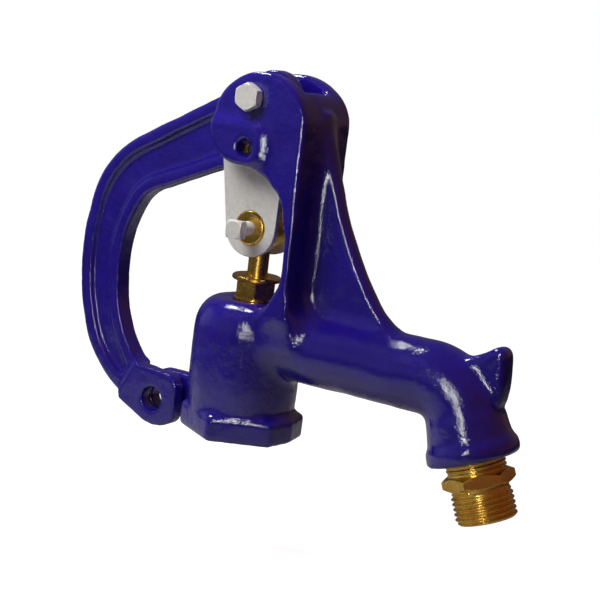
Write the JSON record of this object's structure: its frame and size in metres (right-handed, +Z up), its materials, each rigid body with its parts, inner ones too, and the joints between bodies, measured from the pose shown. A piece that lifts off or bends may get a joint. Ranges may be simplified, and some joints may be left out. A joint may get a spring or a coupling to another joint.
{
  "type": "frost-proof yard hydrant head",
  "caption": "Lever-operated cast head of a frost-proof yard hydrant: hex base for the standpipe, spout with bucket hook and brass hose nozzle, and a toggle linkage on the operating rod.",
  "frame": {"origin": "on the standpipe axis, at the bottom face of the hexagonal base", "axes": "+Z up along the standpipe and the operating rod, +X along the level spout, lever on the -X side, mould parting plane at Y=0"},
  "size_m": [0.2415, 0.0592, 0.1819],
  "materials": {
    "enamel": "gloss enamel over rough sand casting",
    "brass": "machined, lightly polished",
    "zinc": "bright zinc plate",
    "packing": "matt graphited packing"
  },
  "bodies": {
    "head": {"head_casting": "enamel", "pivot_bolt": "zinc", "pivot_lock_washer": "zinc", "pivot_nut": "zinc", "packing_nut": "brass", "packing_gland": "brass", "packing_ring_upper": "packing", "packing_ring_middle": "packing", "packing_ring_lower": "packing", "packing_seat_washer": "brass", "hose_nozzle": "brass"},
    "lever": {"lever_handle": "enamel", "link_pin": "brass"},
    "links": {"link_near": "zinc", "link_far": "zinc"},
    "crosshead": {"crosshead": "brass", "set_screws": "zinc"},
    "rod": {"operating_rod": "brass"}
  },
  "joints": [
    {"name": "lever_pivot", "type": "hinge", "parent": "head", "child": "lever", "pos_m": [0, 0, 0.1568], "axis": [0, 1, 0], "range_deg": [0, 70]},
    {"name": "link_pivot", "type": "hinge", "parent": "lever", "child": "links", "pos_m": [0, 0, 0.1343], "axis": [0, 1, 0], "range_deg": [-108, 0.5]},
    {"name": "crosshead_pivot", "type": "hinge", "parent": "links", "child": "crosshead", "pos_m": [0, 0, 0.0977], "axis": [0, 1, 0], "range_deg": [-0.5, 38]},
    {"name": "rod_slide", "type": "slide", "parent": "head", "child": "rod", "axis": [0, 0, 1], "range_m": [-0.0001, 0.0227]}
  ],
  "couplings": [
    {"joint": "link_pivot", "follows": "lever_pivot", "ratio": -1.536},
    {"joint": "crosshead_pivot", "follows": "lever_pivot", "ratio": 0.536},
    {"joint": "rod_slide", "follows": "lever_pivot", "m_per_rad": 0.018315}
  ]
}
